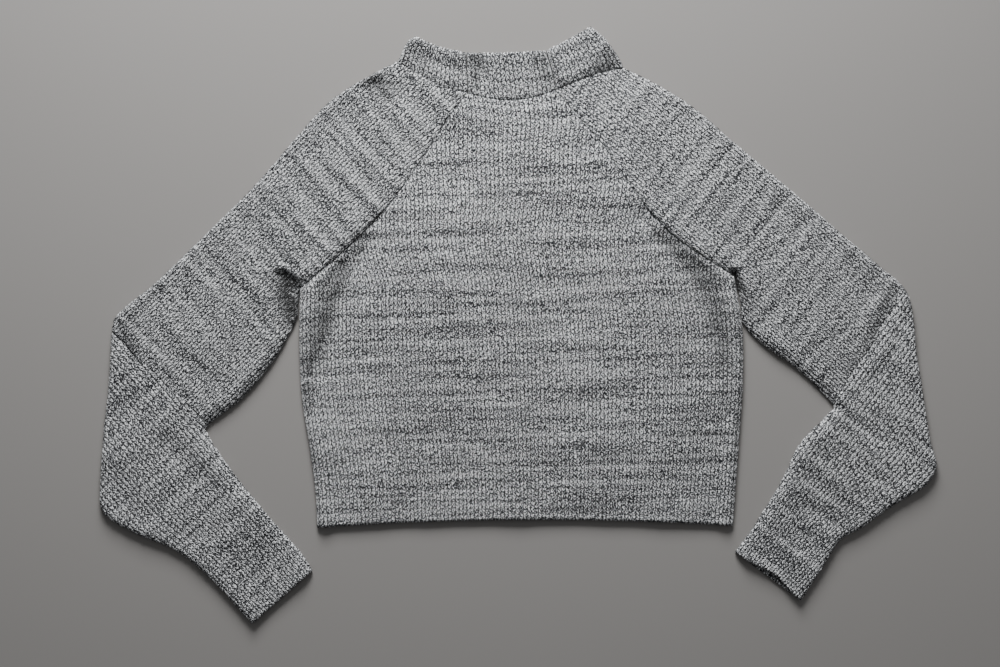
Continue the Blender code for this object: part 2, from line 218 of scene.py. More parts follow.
def bell(x):
    """A soft bump: e to the power of minus x squared."""
    return np.exp(-np.square(x))


def smooth(x):
    """A soft step from 0 to 1: 3 x^2 - 2 x^3 with x kept from 0 to 1."""
    x = np.clip(x, 0, 1)
    return x * x * (3 - 2 * x)


def arch(x):
    """A low arch from 0 to 0 as x runs from 0 to 1: the square root of the sine of pi x."""
    return np.sqrt(np.clip(np.sin(np.pi * np.clip(x, 0, 1)), 0, 1))


def quarter_round(distance, radius):
    """A quarter of a circle: 0 at the edge, 1 from one radius in."""
    x = 1 - np.clip(distance / radius, 0, 1)
    return np.sqrt(1 - x * x)


def row_curve(rows, corner, steps):
    """Rows of a table joined by Catmull-Rom curves, all columns at once, that break at a corner row.

    Between rows p1 and p2 the value is half of 2 p1 + (p2 - p0) t + (2 p0 - 5 p1 + 4 p2 - p3) t^2
    + (3 p1 - p0 - 3 p2 + p3) t^3.
    """
    rows = np.array(rows, float)
    last = len(rows) - 1
    place = np.linspace(0, last, last * steps + 1)
    curve = np.empty((len(place), rows.shape[1]))
    for start, end in ((0, corner), (corner, last)):
        if start == end:
            continue
        part = rows[start : end + 1]
        padded = np.vstack([2 * part[0] - part[1], part, 2 * part[-1] - part[-2]])
        inside = (place >= start) & (place <= end)
        first = np.minimum((place[inside] - start).astype(int), end - start - 1)
        t = (place[inside] - start - first)[:, None]
        p0, p1, p2, p3 = (padded[first + k] for k in range(4))
        curve[inside] = 0.5 * (
            2 * p1
            + (p2 - p0) * t
            + (2 * p0 - 5 * p1 + 4 * p2 - p3) * t**2
            + (3 * p1 - p0 - 3 * p2 + p3) * t**3
        )
    return curve


def courses_of(rows, corner, course):
    """Rows of a panel's table at even quarter courses, from its last row up to its first.

    The distance along the middle of the lines is cut into a whole number of quarter courses.
    """
    curve = row_curve(rows, corner, PANEL_CURVE_STEPS)
    middle = (curve[:, 0:2] + curve[:, 2:4]) / 2
    run = np.concatenate([[0], np.cumsum(np.linalg.norm(np.diff(middle, axis=0), axis=1))])
    from_end = run[-1] - run
    count = round(from_end[0] / course * STEPS_PER_COURSE)
    place = np.linspace(0, from_end[0], count + 1)
    values = np.stack([np.interp(place, from_end[::-1], column[::-1]) for column in curve.T], axis=1)
    return np.arange(count + 1) / STEPS_PER_COURSE, place, values


def scatter(i, j):
    """An even random number from 0 to 1 for each pair of whole numbers, always the same."""
    x = np.sin(i * SCATTER_FACTORS[0] + j * SCATTER_FACTORS[1]) * SCATTER_FACTORS[2]
    return x - np.floor(x)


def stitch_depth(u, v):
    """How deep a point lies in the knit, from about 0 on the loops to 1 between the wales.

    A stitch's two legs meet at its foot and spread toward its top, around a quarter and three quarters of
    its wale. Each is a parabola across, the valley inside the V is half as deep as the one between two
    wales, and every stitch stands a little more or less proud than the next.
    """
    wale = np.floor(u)
    across, raised_v = u - wale, v + WALE_SHIFT * (wale * GOLDEN % 1)
    lean = LEG_SLANT * (raised_v % 1 - 0.5)
    left, right = across - 0.25 + lean, across - 0.75 - lean
    valley = np.clip(np.minimum(np.abs(left), np.abs(right)) / 0.25, 0, 1) ** 2
    inside_v = (left > 0) & (right < 0)
    foot = 0.5 + 0.5 * np.cos(2 * np.pi * raised_v)
    proud = scatter(wale, np.floor(raised_v)) - 0.5
    return valley * np.where(inside_v, V_DEPTH, 1) + (FOOT_DEPTH * foot + PROUD_RANGE * proud) * (1 - valley)


def soft_waves(xy):
    """Slight unevenness of cloth laid by hand: sine waves of unlike length and direction."""
    return sum(height * np.sin(xy[:, 0] * kx + xy[:, 1] * ky + turn) for kx, ky, turn, height in WAVES)


def crease_heights(xy, creases):
    """The highest ridge plus the deepest trough: each is a bell across its line, with its row's height."""
    ridge, trough = np.zeros(len(xy)), np.zeros(len(xy))
    for x0, y0, x1, y1, half_width, height in creases:
        start, run = np.array([x0, y0]), np.array([x1 - x0, y1 - y0])
        along = np.clip((xy - start) @ run / (run @ run), 0, 1)
        level = height * bell(np.linalg.norm(xy - start - along[:, None] * run, axis=1) / half_width)
        ridge, trough = np.maximum(ridge, level), np.minimum(trough, level)
    return ridge + trough


def painted_shade_mask(xy, creases, full_depth=FOLD_DEPTH):
    """Painted shade of folds: how far a point lies down in one, 1 in a trough of the full depth, and no more
    than 2.
    """
    return np.clip(-crease_heights(xy, creases) / full_depth, 0, 2)


def trimmed_lattice(v, low, high):
    """A lattice of stitches that lies along the wales and is cut off at both edges.

    Row k of it runs at v[k] from low[k] to high[k], with a column every quarter of a wale. The columns
    beyond an edge shrink to one point on it, so the rows end exactly there. The columns on the legs lean
    with them.
    """
    steps = STEPS_PER_WALE
    start = np.floor(low * steps + ROUNDING)[:, None]
    stop = np.ceil(high * steps - ROUNDING)[:, None]
    column = np.arange(start.min(), stop.max() + 1)[None]
    side = np.where(column % steps == 1, -1, np.where(column % steps == steps - 1, 1, 0))
    raised_v = v[:, None] + WALE_SHIFT * (column // steps * GOLDEN % 1)
    u = column / steps + side * LEG_SLANT * (raised_v % 1 - 0.5)
    u = np.clip(u, low[:, None], high[:, None])
    inside = (column >= start) & (column <= stop)
    count = inside.sum(axis=1)
    first = np.concatenate([[0], np.cumsum(count)[:-1]])[:, None]
    index = (first + np.clip(column, start, stop) - start).astype(int)
    a, b, c, d = index[:-1, :-1], index[:-1, 1:], index[1:, 1:], index[1:, :-1]
    faces = np.concatenate([np.stack([a, b, c], -1).reshape(-1, 3), np.stack([a, c, d], -1).reshape(-1, 3)])
    whole = (faces[:, 0] != faces[:, 1]) & (faces[:, 1] != faces[:, 2]) & (faces[:, 2] != faces[:, 0])
    row = np.broadcast_to(np.arange(len(v))[:, None], inside.shape)[inside]
    return u[inside], v[row], row, faces[whole]


def filled_outline(xy, edges):
    """Triangles inside a closed outline, counter-clockwise, that use its own points alone."""
    points = [Vector(point) for point in xy.tolist()]
    made = delaunay_2d_cdt(points, edges.tolist(), [], FILL_INSIDE, MERGE_DISTANCE)
    source = np.array([ids[0] if ids else 0 for ids in made[3]])
    faces = source[np.array(made[2])]
    side_b, side_c = xy[faces[:, 1]] - xy[faces[:, 0]], xy[faces[:, 2]] - xy[faces[:, 0]]
    clockwise = side_b[:, 0] * side_c[:, 1] < side_b[:, 1] * side_c[:, 0]
    faces[clockwise] = faces[clockwise][:, ::-1]
    return faces


def closed_layer(skin, stitches, faces, inner_z, upper):
    """One layer of cloth as a closed wall: a knitted skin, a rim, and a plain face inside the garment.

    The rim joins the skin's outline to the same outline at the height inner_z, and that is filled with
    triangles. An upper layer shows its skin upward and a lower one downward.
    """
    a, b, c = (skin[faces[:, k], :2] for k in range(3))
    turn = np.sum((b - a)[:, 0] * (c - a)[:, 1] - (b - a)[:, 1] * (c - a)[:, 0])
    if turn < 0:
        faces = faces[:, ::-1]
    edges = faces[:, [0, 1, 1, 2, 2, 0]].reshape(-1, 2)
    count = len(skin)
    open_edge = ~np.isin(edges[:, 0] * count + edges[:, 1], edges[:, 1] * count + edges[:, 0])
    rim = edges[open_edge]
    ring = np.unique(rim)
    place = np.searchsorted(ring, rim)
    inner = place + count
    wall = np.concatenate(
        [
            np.stack([rim[:, 1], rim[:, 0], inner[:, 0]], axis=1),
            np.stack([rim[:, 1], inner[:, 0], inner[:, 1]], axis=1),
        ]
    )
    inside = filled_outline(skin[ring, :2], place)[:, ::-1] + count
    faces = np.concatenate([faces, wall, inside])
    points = np.concatenate([skin, np.column_stack([skin[ring, :2], inner_z[ring]])])
    if not upper:
        faces = faces[:, ::-1]
    return points, np.concatenate([stitches, stitches[ring]]), faces


def knitted_piece(name, layers, material):
    """One object from closed layers: its UV map holds u and v, and a point attribute the painted shade of
    its folds.
    """
    counts = np.cumsum([0] + [len(layer[0]) for layer in layers])
    points = np.concatenate([layer[0] for layer in layers])
    stitches = np.concatenate([layer[1] for layer in layers])
    corners = np.concatenate([layer[2] + first for layer, first in zip(layers, counts)]).ravel()
    points = np.column_stack([points[:, :2] - PLAN_MIDDLE, np.maximum(points[:, 2], 0)]) * MM
    mesh = bpy.data.meshes.new(name)
    mesh.vertices.add(len(points))
    mesh.vertices.foreach_set("co", points.ravel())
    mesh.loops.add(len(corners))
    mesh.loops.foreach_set("vertex_index", corners)
    mesh.polygons.add(len(corners) // 3)
    mesh.polygons.foreach_set("loop_start", np.arange(0, len(corners), 3))
    mesh.polygons.foreach_set("use_smooth", np.ones(len(corners) // 3, bool))
    mesh.update(calc_edges=True)
    mesh.uv_layers.new(name="stitches").data.foreach_set("uv", stitches[corners, :2].ravel())
    mesh.attributes.new("painted_fold_shade", "FLOAT", "POINT").data.foreach_set("value", stitches[:, 2].copy())
    mesh.materials.append(material)
    piece = bpy.data.objects.new(name, mesh)
    bpy.context.collection.objects.link(piece)
    return piece


# Marl yarn: a black and an off-white ply of cotton and wool twisted together. The eye sees short light
# and dark dashes along each leg of a stitch, paler and darker streaks along the courses, and a soft, fuzzy
# surface without gloss. Shade is painted into the colour in the furrows between the wales, inside each
# stitch's V and in the folds. Widths are in wales.
LIGHT_PLY_HEX = "fafcfe"
DARK_PLY_HEX = "1a1c21"
# Painted shade: the furrows between the wales and the valley inside each V are darkened in the colour.
FURROW_HALF_WIDTH = 0.16
PAINTED_FURROW_SHADE = 0.87
V_HALF_WIDTH = 0.1
PAINTED_V_SHADE = 0.15
PAINTED_FOLD_SHADE = 0.48  # painted shade: the share of colour that one whole fold takes away
TURNS_ALONG_LEG = 1.9
TURNS_ACROSS_LEG = 1.45
TURNS_BY_CHANCE = 0.4
TURNS_IN_STEP = 0.8
IN_STEP_PER_WALE = 0.44  # how far the slow noise goes on from one wale to the next
IN_STEP_PER_COURSE = 7.31  # so far that no course follows the one below it
PLY_CONTRAST = 0.65
STREAKS_PER_WALE = 0.03
STREAKS_PER_COURSE = 1.1
STREAK_CONTRAST = 0.5
FIBRES_PER_METRE = 850.0
FIBRE_CONTRAST = 3.0
NOISE_RANGE = (0.25, 0.75)  # nearly all of a noise's values
COVER_RANGE = (-0.15, 1.15)  # from the dark ply alone to the light ply alone
FUZZ_PER_METRE = 900.0
PLY_RELIEF = 0.2
FURROW_RELIEF = 0.6


def calculate(tree, operation, *values):
    """Add one Math node on the values, and return its result."""
    return add_node(tree, "Math", dict(enumerate(values)), operation=operation)


def soft_line(tree, distance, half_width):
    """Nodes for a soft line: e to the power of minus (distance / half width) squared."""
    width = calculate(tree, "DIVIDE", distance, half_width)
    square = calculate(tree, "MULTIPLY", width, width)
    fall = calculate(tree, "MULTIPLY", square, -1.0)
    return calculate(tree, "EXPONENT", fall)


def stretch(tree, value, old, new):
    """Add one node that maps the old range of a value to the new one and keeps it there."""
    return add_node(tree, "MapRange", {0: value, 1: old[0], 2: old[1], 3: new[0], 4: new[1]})


def noise(tree, dimensions, place, scale, detail, roughness=0.5):
    """Add one cloudy noise in 2D or 3D, with about scale grains a unit."""
    inputs = {"Vector": place, "Scale": scale, "Detail": detail, "Roughness": roughness}
    return add_node(tree, "TexNoise", inputs, noise_dimensions=dimensions)


def marl_knit_material():
    """Colour and bump of the knit, worked out from the stitch coordinates in its UV map.

    d is the distance from a point to its wale's nearer edge and b its place along its stitch. The yarn's
    turn is a slow noise, a chance for each stitch, and a share of b and of d; its sine says which ply
    shows. Painted shade lies as dark lines in the furrows between the wales and inside the stitches' V,
    and a point attribute paints the folds' shade into the yarn.
    """
    material = bpy.data.materials.new("marl_cotton_wool_knit")
    material.use_nodes = True
    tree = material.node_tree
    shader = tree.nodes["Principled BSDF"]
    stitch = add_node(tree, "UVMap", uv_map="stitches")
    parts = add_node(tree, "SeparateXYZ", {0: stitch}).node
    u, v = parts.outputs[0], parts.outputs[1]
    wale = calculate(tree, "FLOOR", u)
    golden = calculate(tree, "MULTIPLY", wale, GOLDEN)
    golden = calculate(tree, "FRACT", golden)
    raised_v = calculate(tree, "MULTIPLY_ADD", golden, WALE_SHIFT, v)
    course = calculate(tree, "FLOOR", raised_v)
    along = calculate(tree, "FRACT", raised_v)
    from_edge = calculate(tree, "PINGPONG", u, 0.5)

    # How far the plies have turned, and which of them shows
    slow_u = calculate(tree, "MULTIPLY", u, IN_STEP_PER_WALE)
    slow_v = calculate(tree, "MULTIPLY", course, IN_STEP_PER_COURSE)
    slow_place = add_node(tree, "CombineXYZ", {0: slow_u, 1: slow_v})
    in_step = noise(tree, "2D", slow_place, scale=1.0, detail=0.0)
    one_stitch = add_node(tree, "CombineXYZ", {0: wale, 1: course})
    chance = add_node(tree, "TexWhiteNoise", {"Vector": one_stitch}, noise_dimensions="2D")
    turn = calculate(tree, "MULTIPLY", in_step, TURNS_IN_STEP)
    turn = calculate(tree, "MULTIPLY_ADD", chance, TURNS_BY_CHANCE, turn)
    turn = calculate(tree, "MULTIPLY_ADD", along, TURNS_ALONG_LEG, turn)
    turn = calculate(tree, "MULTIPLY_ADD", from_edge, TURNS_ACROSS_LEG, turn)
    angle = calculate(tree, "MULTIPLY", turn, 2 * np.pi)
    ply = calculate(tree, "SINE", angle)

    # Streaks along the courses, where one ply covers the other, and single fibres that stray
    streak_scale = (STREAKS_PER_WALE, STREAKS_PER_COURSE, 1.0)
    streak_place = add_node(tree, "Mapping", {"Vector": stitch, "Scale": streak_scale}, vector_type="POINT")
    streak = noise(tree, "2D", streak_place, scale=1.0, detail=2.0)
    streak = stretch(tree, streak, NOISE_RANGE, (-STREAK_CONTRAST, STREAK_CONTRAST))
    place = add_node(tree, "TexCoord", output=3)
    stray = noise(tree, "3D", place, FIBRES_PER_METRE, detail=2.0)
    stray = stretch(tree, stray, NOISE_RANGE, (-FIBRE_CONTRAST, FIBRE_CONTRAST))
    cover = calculate(tree, "MULTIPLY_ADD", ply, PLY_CONTRAST, streak)
    cover = calculate(tree, "ADD", cover, stray)
    share = stretch(tree, cover, COVER_RANGE, (0.0, 1.0))
    plies = {0: share, 6: linear(DARK_PLY_HEX), 7: linear(LIGHT_PLY_HEX)}
    yarn = add_node(tree, "Mix", plies, output=2, data_type="RGBA")

    # Painted shade: dark lines in the furrows between the wales, slanted with the legs, and inside the V,
    # and the folds' painted shade
    slant = calculate(tree, "MULTIPLY_ADD", along, LEG_SLANT, -LEG_SLANT / 2)
    slanted = calculate(tree, "ADD", from_edge, slant)
    slanted = calculate(tree, "MAXIMUM", slanted, 0.0)
    furrow = soft_line(tree, slanted, FURROW_HALF_WIDTH)
    from_middle = calculate(tree, "SUBTRACT", 0.5, from_edge)
    inside = soft_line(tree, from_middle, V_HALF_WIDTH)
    shade = calculate(tree, "MULTIPLY_ADD", furrow, -PAINTED_FURROW_SHADE, 1.0)
    shade = calculate(tree, "MULTIPLY_ADD", inside, -PAINTED_V_SHADE, shade)
    # Painted shade of the folds, read from the point attribute that knitted_piece writes.
    painted_fold_shade = add_node(tree, "Attribute", output=2, attribute_name="painted_fold_shade")
    unshaded_share = calculate(tree, "MULTIPLY_ADD", painted_fold_shade, -PAINTED_FOLD_SHADE, 1.0)
    shade = calculate(tree, "MULTIPLY", shade, unshaded_share)
    shades = {0: 1.0, 6: yarn, 7: shade}
    shaded = add_node(tree, "Mix", shades, output=2, data_type="RGBA", blend_type="MULTIPLY")
    tree.links.new(shaded, shader.inputs["Base Color"])

    # Bump: the plies' twist on each leg, the furrows, and a fuzz of loose fibres
    fuzz = noise(tree, "3D", place, FUZZ_PER_METRE, detail=3.0, roughness=0.7)
    relief = calculate(tree, "MULTIPLY_ADD", ply, PLY_RELIEF, fuzz)
    relief = calculate(tree, "MULTIPLY_ADD", furrow, -FURROW_RELIEF, relief)
    bump = add_node(tree, "Bump", {"Height": relief, "Strength": 0.7, "Distance": 0.0007})
    tree.links.new(bump, shader.inputs["Normal"])
    shader.inputs["Roughness"].default_value = 0.92
    shader.inputs["Specular IOR Level"].default_value = 0.22
    shader.inputs["Sheen Weight"].default_value = 0.15
    shader.inputs["Sheen Roughness"].default_value = 0.5
    return material


marl_knit = marl_knit_material()


def body_lattice():
    """Stitches of the front or the back: upright wales, cut off at the raglan edges.

    Below the underarm the wales share the panel's width evenly. Above it each wale keeps its count from
    the middle, and its width grows slowly toward the neck. At the share s of its length a line bows by
    4 s (1 - s) of its row's bow.
    """
    v, height, value = courses_of(BODY, UNDERARM_ROW, BODY_COURSE)
    left_x, left_y, right_x, right_y = value[:, 0], value[:, 1], value[:, 2], value[:, 3]
    width = right_x - left_x
    underarm_y = (BODY[UNDERARM_ROW][1] + BODY[UNDERARM_ROW][3]) / 2
    neck_y = (BODY[0][1] + BODY[0][3]) / 2
    above = np.clip(((left_y + right_y) / 2 - underarm_y) / (neck_y - underarm_y), 0, 1)
    underarm_width = BODY[UNDERARM_ROW][2] - BODY[UNDERARM_ROW][0]
    pitch = np.where(above > 0, underarm_width / BODY_WALES + WALE_GROWTH * above, width / BODY_WALES)
    middle = (left_x + right_x) / 2
    reach = (width / 2 - SEAM_GAP) / pitch
    u, v, row, faces = trimmed_lattice(v, BODY_WALES / 2 - reach, BODY_WALES / 2 + reach)
    x = middle[row] + (u - BODY_WALES / 2) * pitch[row]
    share = np.clip((x - left_x[row]) / width[row], 0, 1)
    y = left_y[row] + share * (right_y - left_y)[row] - value[row, 4] * 4 * share * (1 - share)
    from_hem = height[row]
    return u, v, np.column_stack([x, y]), faces, share, value[row], from_hem, height[-1] - from_hem


def panel_outline(xy, share, value):
    """Distance from the panel's nearer long edge, the way out of it, and 0 at a seam to 1 at a side."""
    width = value[:, 2] - value[:, 0]
    out = np.column_stack([np.where(share < 0.5, -1.0, 1.0), np.zeros(len(xy))])
    side = np.minimum(share, 1 - share) * width
    at_side = smooth((BODY[UNDERARM_ROW][1] + SIDE_START - xy[:, 1]) / SIDE_SPAN)
    return side, out, at_side


def upper_panel(u, v, xy, faces, share, value, from_hem, from_neck, creases, lane):
    """The front's layer: it rises inside its edges, rounds down at its sides and dips at its seams."""
    side, out, at_side = panel_outline(xy, share, value)
    width = value[:, 2] - value[:, 0]
    top = (
        LAID
        + value[:, 5] * bell((share * width - EDGE_RISE) / EDGE_RISE)
        + value[:, 6] * arch(share) ** CROWN_POWER
        + value[:, 7] * bell(((1 - share) * width - EDGE_RISE) / EDGE_RISE)
        + crease_heights(xy, creases)
        + soft_waves(xy)
    )
    foot = at_side * (UPPER_INNER + EDGE_THICKNESS) + (1 - at_side) * (top - SEAM_DIP)
    level = foot + (top - foot) * quarter_round(side, EDGE_RADIUS * at_side + SEAM_RADIUS)
    hem_dip = END_DIP * (1 - quarter_round(from_hem, END_RADIUS))
    level -= hem_dip + NECK_DIP * (1 - quarter_round(from_neck, NECK_RADIUS))
    steep = at_side * (1 - np.clip(side / EDGE_RADIUS, 0, 1))
    # The third column is the painted shade of the folds.
    stitches = np.column_stack([u + lane[0], v + lane[1], painted_shade_mask(xy, creases)])
    depth = stitch_depth(*stitches.T[:2])
    skin_xy = xy + out * (steep * (0.5 - depth) * RELIEF)[:, None]
    skin_xy[:, 1] -= np.where(from_hem < ON_EDGE, LOOP_REACH * np.sin(np.pi * u) ** 2, 0)
    level -= depth * RELIEF * np.sqrt(1 - steep**2)
    skin = np.column_stack([skin_xy, np.maximum(level, UPPER_INNER + LEAST_THICKNESS)])
    inner_z = np.where(from_hem < 1, np.maximum(top - CLOTH, UPPER_INNER), UPPER_INNER)
    inner_z = UPPER_INNER + (inner_z - UPPER_INNER) * smooth(side / INNER_BLEND)
    return closed_layer(skin, stitches, faces, inner_z, upper=True)


def lower_panel(u, v, xy, faces, share, value, from_hem, from_neck, lane):
    """The back's layer: its loops lie flat on the surface, and its edges round up."""
    side, out, at_side = panel_outline(xy, share, value)
    edge = np.where(at_side > 0.5, side, side * LOWER_SEAM_SHARE)
    edge = np.minimum(edge, np.minimum(from_hem, from_neck) * LOWER_END_SHARE)
    steep = at_side * (1 - np.clip(side / CLOTH, 0, 1))
    stitches = np.column_stack([u + lane[0], v + lane[1], np.zeros(len(u))])
    depth = stitch_depth(*stitches.T[:2])
    skin_xy = xy + out * (steep * (0.5 - depth) * RELIEF)[:, None]
    skin_xy[:, 1] -= np.where(from_hem < ON_EDGE, LOOP_REACH * np.sin(np.pi * u) ** 2, 0)
    level = (CLOTH - EDGE_THICKNESS) * (1 - quarter_round(edge, CLOTH))
    level += depth * LOWER_RELIEF * np.sqrt(1 - steep**2)
    skin = np.column_stack([skin_xy, np.minimum(level, CLOTH - LEAST_THICKNESS)])
    inner_z = np.full(len(u), CLOTH)
    return closed_layer(skin, stitches, faces, inner_z, upper=False)


front_layer = upper_panel(*body_lattice(), FRONT_CREASES, (LANE, 8))
front_panel = knitted_piece("front_panel", [front_layer], marl_knit)
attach(front_panel, "root")
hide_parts("front")

# ---- Back panel ------------------------------------------------------
# The back is knitted to the same cut as the front and lies under it, with its right side on the surface.
# Its hem shows as a thin edge under the front's.

back_layer = lower_panel(*body_lattice(), (2 * LANE, 48))
back_panel = knitted_piece("back_panel", [back_layer], marl_knit)
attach(back_panel, "root")
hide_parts("back")

# ---- Sleeves ---------------------------------------------------------
# Each sleeve is one knitted piece, folded along its outer line and sewn along the underarm. It bends at
# the elbow, where the wales of the upper arm meet those of the forearm at a crease. The forearm is full
# and narrows to the cuff.

SLEEVE_COURSE = 9.5
CURVE_STEPS = 6  # places from one row of a table to the next
FOLD_MIDDLE = 3.15  # where the two layers of folded cloth meet at the fold
ON_FOLD = 0.5  # a point nearer than this to the fold lies on it
FOLD_RISE_WIDTH = 16.0
SEAM_RISE_WIDTH = 12.0
CREASE_FADE = 12.0  # creases fade out over this distance from the fold
PRESSED_THICKNESS = 0.4  # what the deepest trough leaves of the upper layer
SLEEVE_SEAM_RADIUS = 3.0
ROLLED_START = 2.6  # row from which the edge rolls down beside the raglan seam, over ROLLED_SPAN
ROLLED_SPAN = 1.4
ROLLED_DIP = 2.2  # how much further the rolled edge goes down
ROLLED_WIDENING = 6.0  # and how much further in it starts
UNDERARM_START = 0.2  # the underarm seam begins this share of a row early
UNDERARM_SPAN = 0.8
UNDERARM_RADIUS = 11.0
UNDERARM_WIDENING = 4.0
ELBOW_DEPTH = 0.35  # the stitches' mean depth, which they all come near in the elbow crease
ELBOW_SPAN = 3.0  # distance over which they get their own depths back
ELBOW_RELIEF = 0.2
GAPE_MIDDLE = 0.45  # where a cuff's mouth is drawn back most, as a share of its width
GAPE_HALF_WIDTH = 0.25
GAPE_LENGTH = 24.0  # how far up the sleeve the cloth is drawn with it
LEAST_WALES = 0.02  # the width of a zone at its tip
NECK_LINE_POINTS = 9
BLOCK = 4000  # points measured at a time, to save memory

# One line across the folded sleeve in each row: its folded outer end and its sewn inner end, the bow of
# the line, and how far the cloth rises at the fold, in the middle and beside the seam.
SLEEVE_LEFT = (
    (-135, 299, -56, 263, 6.0, 0.6, 0.2, 0.2),
    (-175, 278, -76, 238, 3.0, 4.4, 1.6, 1.4),
    (-213, 252, -103, 196, 0.0, 2.6, 1.9, 1.6),
    (-250, 212, -141, 142, 0.0, 2.6, 1.9, 2.8),
    (-293, 162, -191, 90, 0.0, 2.6, 2.0, 3.6),
    (-332, 123, -245, 42, 0.0, 2.6, 2.0, 4.0),
    (-348, 107, -247.5, 24, 0.0, 2.6, 2.0, 3.0),
    (-369, 86, -249.5, 8, 0.0, 2.8, 2.4, 2.2),
    (-409, 48, -277, -41, 0.0, 3.0, 2.6, 3.6),
    (-449, 15, -312, -82, 0.0, 3.0, 2.0, 3.0),
    (-457, -6, -348, -110, 0.0, 2.8, 1.4, 2.0),
    (-460, -58, -350, -120, 0.0, 2.6, 2.0, 1.6),
    (-466, -117, -328, -155, 0.0, 2.8, 2.1, 1.8),
    (-470, -173, -306, -183, 0.0, 2.8, 2.1, 2.0),
    (-467, -209, -290, -203, 0.0, 3.0, 2.1, 2.0),
    (-433, -232, -275, -221, 0.0, 3.0, 2.0, 2.0),
    (-384, -253, -259, -238, 0.0, 2.6, 1.8, 1.8),
    (-346, -284, -243, -257, 0.0, 2.2, 1.6, 1.6),
    (-299, -335, -231, -275, 0.0, 2.4, 2.2, 1.6),
)
SLEEVE_RIGHT = (
    (120, 291, 43, 266, -3.0, 0.6, 0.2, 0.2),
    (160, 271, 70, 233, 0.0, 2.2, 1.6, 1.2),
    (199, 246, 94, 207, 0.0, 2.6, 1.9, 1.4),
    (248, 204, 133, 150, 0.0, 2.6, 1.9, 2.4),
    (297, 163, 176, 103, 0.0, 2.6, 2.0, 3.4),
    (340, 127, 244, 56, 0.0, 2.6, 2.0, 3.6),
    (357, 111, 251.5, 30, 0.0, 2.6, 2.0, 3.4),
    (376, 95, 255, 3, 0.0, 2.8, 2.4, 2.6),
    (409, 67, 279, -22, 0.0, 3.0, 2.6, 3.6),
    (436, 43, 318, -50, 0.0, 3.0, 1.6, 2.8),
    (445, 16, 355, -87, 0.0, 3.2, 1.4, 2.0),
    (450, -32, 351, -98, 0.0, 2.6, 2.0, 1.6),
    (458, -83, 332, -117, 0.0, 2.8, 2.1, 1.8),
    (465, -128, 315, -138, 0.0, 2.8, 2.1, 2.0),
    (472, -156, 301, -168, 0.0, 3.0, 2.1, 2.0),
    (460, -179, 287, -193, 0.0, 3.0, 2.1, 2.0),
    (424, -201, 276, -210, 0.0, 3.0, 2.0, 2.0),
    (386, -228, 264, -229, 0.0, 2.4, 1.8, 1.8),
    (363, -241, 259, -236, 0.0, 2.2, 1.8, 1.8),
    (345, -270, 252, -245, 0.0, 2.2, 2.2, 1.6),
    (319, -309, 245, -254, 0.0, 2.4, 3.2, 1.8),
)
LEFT_CREASES = (
    (-173, 280, -148, 263, 14.0, -7.4),
    (-189, 255, -279, 171, 8.0, -1.4),
    (-400, 42, -438, 2, 7.0, -2.2),
    (-268, 67, -246, 57, 4.5, 3.0),
    (-262, 57, -254, 50, 6.0, -17.0),
    (-260, 46, -252, 6, 14.0, -14.0),
    (-453, 8, -432, -38, 5.0, -3.2),
    (-424, 20, -338, -92, 12.0, 1.0),
    (-395, -128, -352, -172, 12.0, -2.8),
    (-456, -165, -430, -205, 13.0, -1.8),
    (-398, -106, -446, -150, 12.0, 1.2),
    (-384, -246, -300, -214, 9.0, -1.1),
)
RIGHT_CREASES = (
    (438, 40, 410, -30, 7.0, 1.6),
    (410, -30, 364, -82, 7.0, 1.4),
    (426, 42, 396, -26, 8.0, -3.4),
    (396, -26, 352, -76, 7.0, -2.2),
    (183, 249, 205, 233, 9.0, -1.8),
    (296, 137, 318, 118, 9.0, -1.8),
    (374, 76, 397, 42, 9.0, -2.0),
    (246, 62, 262, 40, 6.0, 1.6),
    (243, 60, 251, 40, 4.0, -16.0),
    (256, 34, 264, 4, 8.0, -3.6),
    (424, -26, 418, -36, 4.0, -1.4),
    (404, -52, 398, -62, 4.0, -1.4),
    (452, -150, 352, -128, 14.0, 1.0),
    (380, -222, 300, -196, 9.0, -1.1),
)


def beside(xy, line):
    """Distance from points to a line, the place of the nearest point along it in steps, and the way out.

    On each segment the nearest place is the point's share along it, kept from 0 to 1, and the segment
    with the smallest distance wins. The way out is that segment's normal, turned away from the points.
    """
    start, run = line[:-1], np.diff(line, axis=0)
    square = np.sum(run * run, axis=1)
    share, distance, segment = [], [], []
    for block in np.array_split(xy, len(xy) // BLOCK + 1):
        along = np.clip(np.sum((block[:, None] - start) * run, axis=2) / square, 0, 1)
        away = np.linalg.norm(block[:, None] - start - along[..., None] * run, axis=2)
        nearest = away.argmin(axis=1)
        pick = np.arange(len(block)), nearest
        share.append(along[pick])
        distance.append(away[pick])
        segment.append(nearest)
    share, distance, segment = map(np.concatenate, (share, distance, segment))
    normal = np.column_stack([-run[segment, 1], run[segment, 0]]) / np.sqrt(square[segment])[:, None]
    inward = np.sum(normal * (xy - start[segment]), axis=1)
    return distance, segment + share, -normal * np.sign(np.sum(inward))


def zone_lattice(low_line, high_line, across, end, anchor, pitch_at, pitch):
    """Stitches of a flat zone with straight wales: u along across, v square to it, counted back from end.

    low_line and high_line are the zone's two edges from its tip to its end. The wales run beside the
    anchor's straight line, and pitch gives their width at the distances pitch_at from the end.
    """
    forward = np.array([across[1], -across[0]])
    if forward @ (end - low_line[0]) < 0:
        forward = -forward
    far = end @ forward
    edges = []
    for line in (low_line, high_line):
        back = far - line @ forward
        order = np.argsort(back)
        edges.append((back[order], (line @ across)[order]))
    depth = max(edges[0][0].max(), edges[1][0].max())
    v = np.arange(0, int(depth / SLEEVE_COURSE * STEPS_PER_COURSE) + 1) / STEPS_PER_COURSE
    back = v * SLEEVE_COURSE
    width = np.interp(back, pitch_at, pitch)
    straight = anchor @ across
    low, high = ((np.interp(back, *edge) - straight) / width for edge in edges)
    u, v, row, faces = trimmed_lattice(v, np.minimum(low, high - LEAST_WALES), high)
    xy = (straight + u * width[row])[:, None] * across + (far - back[row])[:, None] * forward
    return u, v, xy, faces


